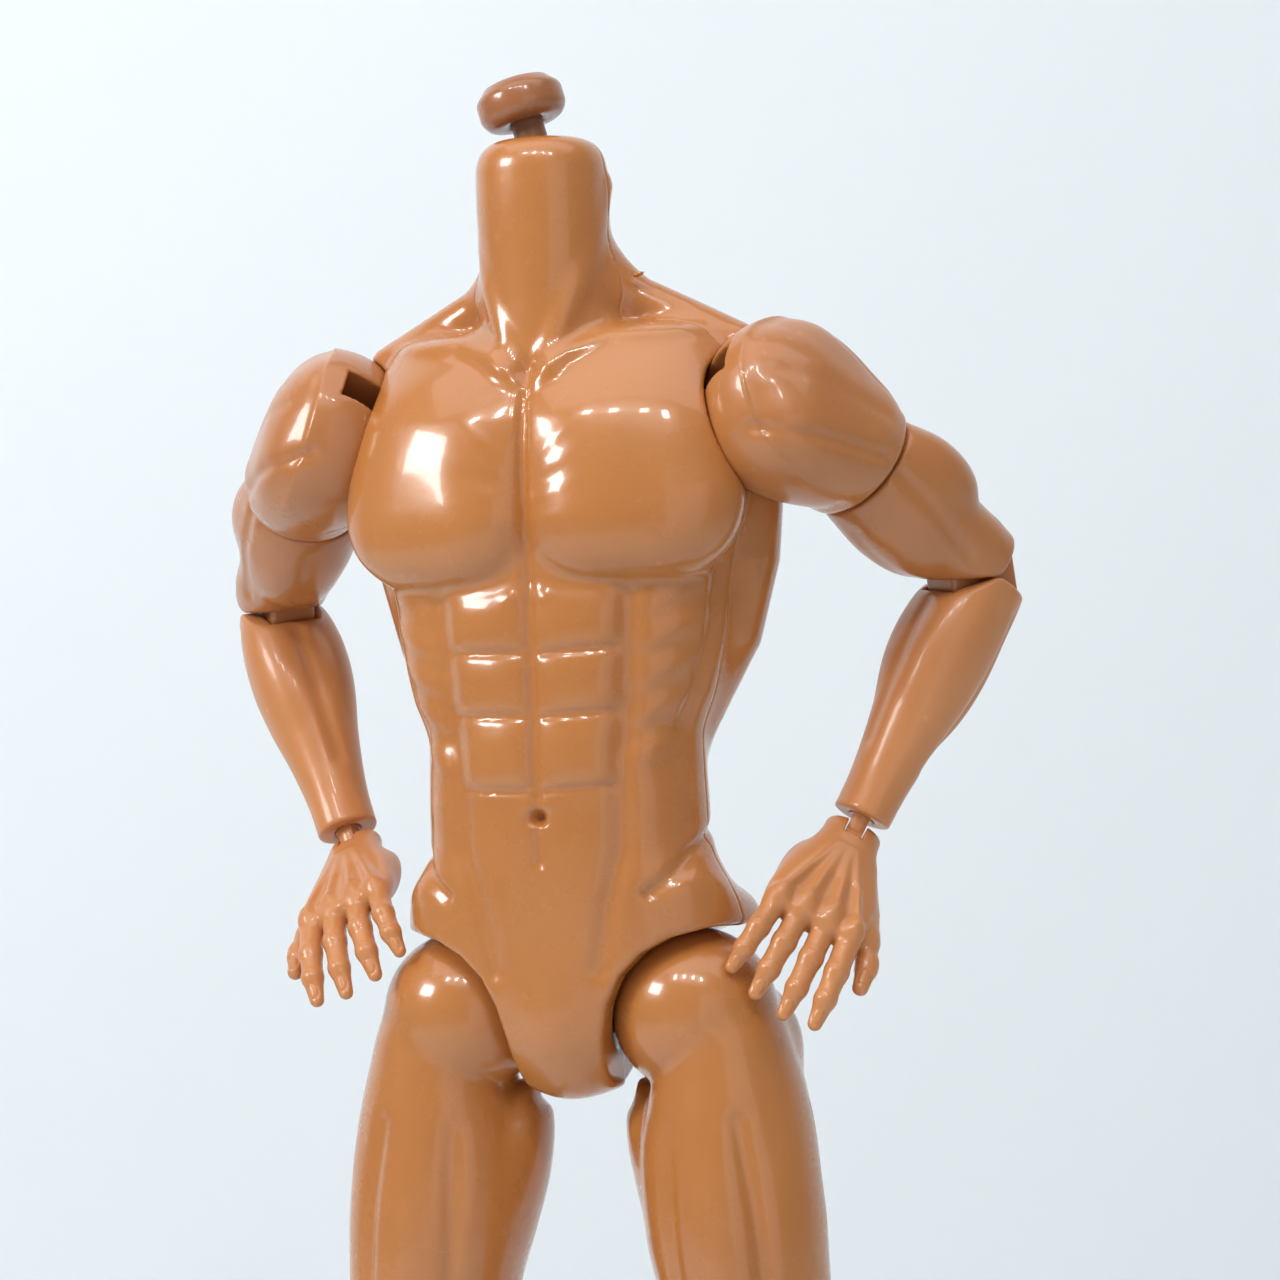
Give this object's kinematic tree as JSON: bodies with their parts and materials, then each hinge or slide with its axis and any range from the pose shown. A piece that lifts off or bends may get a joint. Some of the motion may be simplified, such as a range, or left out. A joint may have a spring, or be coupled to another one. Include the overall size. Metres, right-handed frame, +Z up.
{
  "type": "jointed doll body",
  "caption": "Headless jointed muscular doll body of glossy tan plastic, standing with its hands by its hips, with a plug on the neck for a head",
  "frame": {"origin": "on the floor at the middle of the object's box, between the soles", "axes": "+X is the figure's left, -Y is the way it faces, +Z is up"},
  "size_m": [0.1108, 0.0634, 0.2693],
  "materials": {
    "torso_plastic": "glossy tan moulded plastic",
    "limb_plastic": "glossy tan moulded plastic",
    "soft_plastic": "soft satin tan vinyl",
    "plug_plastic": "glossy brown tan plastic",
    "joint_plastic": "satin brown plastic",
    "pin_steel": "plain steel pin"
  },
  "bodies": {
    "torso": {"torso_front": "torso_plastic", "torso_back": "torso_plastic"},
    "neck": {"neck_stem": "joint_plastic"},
    "plug": {"head_plug": "plug_plastic"},
    "arm_hub_left": {"shoulder_hub_left": "joint_plastic"},
    "shoulder_left": {"deltoid_left": "limb_plastic", "shoulder_pin_left": "pin_steel"},
    "arm_left": {"upper_arm_left": "limb_plastic"},
    "elbow_left": {"elbow_knuckle_left": "limb_plastic", "elbow_pins_left": "pin_steel"},
    "lower_arm_left": {"forearm_left": "soft_plastic"},
    "wrist_left": {"wrist_peg_left": "soft_plastic"},
    "palm_left": {"hand_left": "soft_plastic", "wrist_pin_left": "pin_steel"},
    "arm_hub_right": {"shoulder_hub_right": "joint_plastic"},
    "shoulder_right": {"deltoid_right": "limb_plastic", "shoulder_pin_right": "pin_steel"},
    "arm_right": {"upper_arm_right": "limb_plastic"},
    "elbow_right": {"elbow_knuckle_right": "limb_plastic", "elbow_pins_right": "pin_steel"},
    "lower_arm_right": {"forearm_right": "soft_plastic"},
    "wrist_right": {"wrist_peg_right": "soft_plastic"},
    "palm_right": {"hand_right": "soft_plastic", "wrist_pin_right": "pin_steel"},
    "leg_hub_left": {"hip_hub_left": "joint_plastic"},
    "upper_leg_left": {"thigh_left": "limb_plastic", "hip_pin_left": "pin_steel"},
    "knee_left": {"knee_knuckle_left": "limb_plastic", "knee_pins_left": "pin_steel"},
    "lower_leg_left": {"shin_left": "limb_plastic"},
    "ankle_left": {"ankle_peg_left": "soft_plastic"},
    "sole_left": {"foot_left": "limb_plastic", "ankle_pin_left": "pin_steel"},
    "leg_hub_right": {"hip_hub_right": "joint_plastic"},
    "upper_leg_right": {"thigh_right": "limb_plastic", "hip_pin_right": "pin_steel"},
    "knee_right": {"knee_knuckle_right": "limb_plastic", "knee_pins_right": "pin_steel"},
    "lower_leg_right": {"shin_right": "limb_plastic"},
    "ankle_right": {"ankle_peg_right": "soft_plastic"},
    "sole_right": {"foot_right": "limb_plastic", "ankle_pin_right": "pin_steel"}
  },
  "joints": [
    {"name": "neck_lean", "type": "hinge", "parent": "torso", "child": "neck", "pos_m": [0, 0.00264, 0.2558], "axis": [0, 1, 0], "range_deg": [-7, 35]},
    {"name": "plug_turn", "type": "hinge", "parent": "neck", "child": "plug", "pos_m": [0, 0.00264, 0.2558], "axis": [-0.2588, 0, 0.9659], "range_deg": [-90, 90]},
    {"name": "shoulder_swing_left", "type": "hinge", "parent": "torso", "child": "arm_hub_left", "pos_m": [0.0325, 0.00264, 0.224], "axis": [1, 0, 0], "range_deg": [-100, 2]},
    {"name": "shoulder_raise_left", "type": "hinge", "parent": "arm_hub_left", "child": "shoulder_left", "pos_m": [0.0325, 0.00264, 0.224], "axis": [0, -0.6691, -0.7431], "range_deg": [-3, 45]},
    {"name": "upper_arm_turn_left", "type": "hinge", "parent": "shoulder_left", "child": "arm_left", "pos_m": [0.0325, 0.00264, 0.224], "axis": [-0.4879, -0.6487, 0.5841], "range_deg": [-1, 60]},
    {"name": "elbow_upper_left", "type": "hinge", "parent": "arm_left", "child": "elbow_left", "pos_m": [0.04884, 0.02437, 0.20443], "axis": [-0.756, 0.6485, 0.0889], "range_deg": [-43, 5]},
    {"name": "elbow_lower_left", "type": "hinge", "parent": "elbow_left", "child": "lower_arm_left", "pos_m": [0.04914, 0.02539, 0.19955], "axis": [-0.756, 0.6485, 0.0889], "range_deg": [-43, 5]},
    {"name": "wrist_turn_left", "type": "hinge", "parent": "lower_arm_left", "child": "wrist_left", "pos_m": [0.03569, 0.0136, 0.17122], "axis": [0.4014, 0.352, 0.8456], "range_deg": [-15, 60]},
    {"name": "wrist_bend_left", "type": "hinge", "parent": "wrist_left", "child": "palm_left", "pos_m": [0.03437, 0.01244, 0.16843], "axis": [-0.8391, -0.2287, 0.4935], "range_deg": [-3, 20]},
    {"name": "shoulder_swing_right", "type": "hinge", "parent": "torso", "child": "arm_hub_right", "pos_m": [-0.0325, 0.00264, 0.224], "axis": [1, 0, 0], "range_deg": [-100, 2]},
    {"name": "shoulder_raise_right", "type": "hinge", "parent": "arm_hub_right", "child": "shoulder_right", "pos_m": [-0.0325, 0.00264, 0.224], "axis": [0, 0.6691, 0.7431], "range_deg": [-3, 45]},
    {"name": "upper_arm_turn_right", "type": "hinge", "parent": "shoulder_right", "child": "arm_right", "pos_m": [-0.0325, 0.00264, 0.224], "axis": [-0.4879, 0.6487, -0.5841], "range_deg": [-1, 60]},
    {"name": "elbow_upper_right", "type": "hinge", "parent": "arm_right", "child": "elbow_right", "pos_m": [-0.04884, 0.02437, 0.20443], "axis": [-0.756, -0.6485, -0.0889], "range_deg": [-43, 5]},
    {"name": "elbow_lower_right", "type": "hinge", "parent": "elbow_right", "child": "lower_arm_right", "pos_m": [-0.04914, 0.02539, 0.19955], "axis": [-0.756, -0.6485, -0.0889], "range_deg": [-43, 5]},
    {"name": "wrist_turn_right", "type": "hinge", "parent": "lower_arm_right", "child": "wrist_right", "pos_m": [-0.03569, 0.0136, 0.17122], "axis": [0.4014, -0.352, -0.8456], "range_deg": [-8, 60]},
    {"name": "wrist_bend_right", "type": "hinge", "parent": "wrist_right", "child": "palm_right", "pos_m": [-0.03437, 0.01244, 0.16843], "axis": [-0.9078, -0.0304, -0.4183], "range_deg": [-6, 8]},
    {"name": "hip_swing_left", "type": "hinge", "parent": "torso", "child": "leg_hub_left", "pos_m": [0.0156, 0.00264, 0.148], "axis": [1, 0, 0], "range_deg": [-50, 15]},
    {"name": "hip_spread_left", "type": "hinge", "parent": "leg_hub_left", "child": "upper_leg_left", "pos_m": [0.0156, 0.00264, 0.148], "axis": [0, -1, 0], "range_deg": [-6, 25]},
    {"name": "knee_upper_left", "type": "hinge", "parent": "upper_leg_left", "child": "knee_left", "pos_m": [0.02421, 0.00264, 0.08256], "axis": [0.9914, 0, 0.1305], "range_deg": [0, 58]},
    {"name": "knee_lower_left", "type": "hinge", "parent": "knee_left", "child": "lower_leg_left", "pos_m": [0.02526, 0.00264, 0.07463], "axis": [0.9914, 0, 0.1305], "range_deg": [0, 58]},
    {"name": "ankle_turn_left", "type": "hinge", "parent": "lower_leg_left", "child": "ankle_left", "pos_m": [0.03192, 0.00264, 0.02407], "axis": [-0.1305, 0, 0.9914], "range_deg": [-20, 20]},
    {"name": "ankle_bend_left", "type": "hinge", "parent": "ankle_left", "child": "sole_left", "pos_m": [0.03257, 0.00264, 0.01911], "axis": [0.9698, 0.2079, 0.1277], "range_deg": [-20, 20]},
    {"name": "hip_swing_right", "type": "hinge", "parent": "torso", "child": "leg_hub_right", "pos_m": [-0.0156, 0.00264, 0.148], "axis": [1, 0, 0], "range_deg": [-50, 15]},
    {"name": "hip_spread_right", "type": "hinge", "parent": "leg_hub_right", "child": "upper_leg_right", "pos_m": [-0.0156, 0.00264, 0.148], "axis": [0, 1, 0], "range_deg": [-6, 25]},
    {"name": "knee_upper_right", "type": "hinge", "parent": "upper_leg_right", "child": "knee_right", "pos_m": [-0.02421, 0.00264, 0.08256], "axis": [0.9914, 0, -0.1305], "range_deg": [0, 58]},
    {"name": "knee_lower_right", "type": "hinge", "parent": "knee_right", "child": "lower_leg_right", "pos_m": [-0.02526, 0.00264, 0.07463], "axis": [0.9914, 0, -0.1305], "range_deg": [0, 58]},
    {"name": "ankle_turn_right", "type": "hinge", "parent": "lower_leg_right", "child": "ankle_right", "pos_m": [-0.03192, 0.00264, 0.02407], "axis": [-0.1305, 0, -0.9914], "range_deg": [-20, 20]},
    {"name": "ankle_bend_right", "type": "hinge", "parent": "ankle_right", "child": "sole_right", "pos_m": [-0.03257, 0.00264, 0.01911], "axis": [0.9698, -0.2079, -0.1277], "range_deg": [-20, 20]}
  ]
}
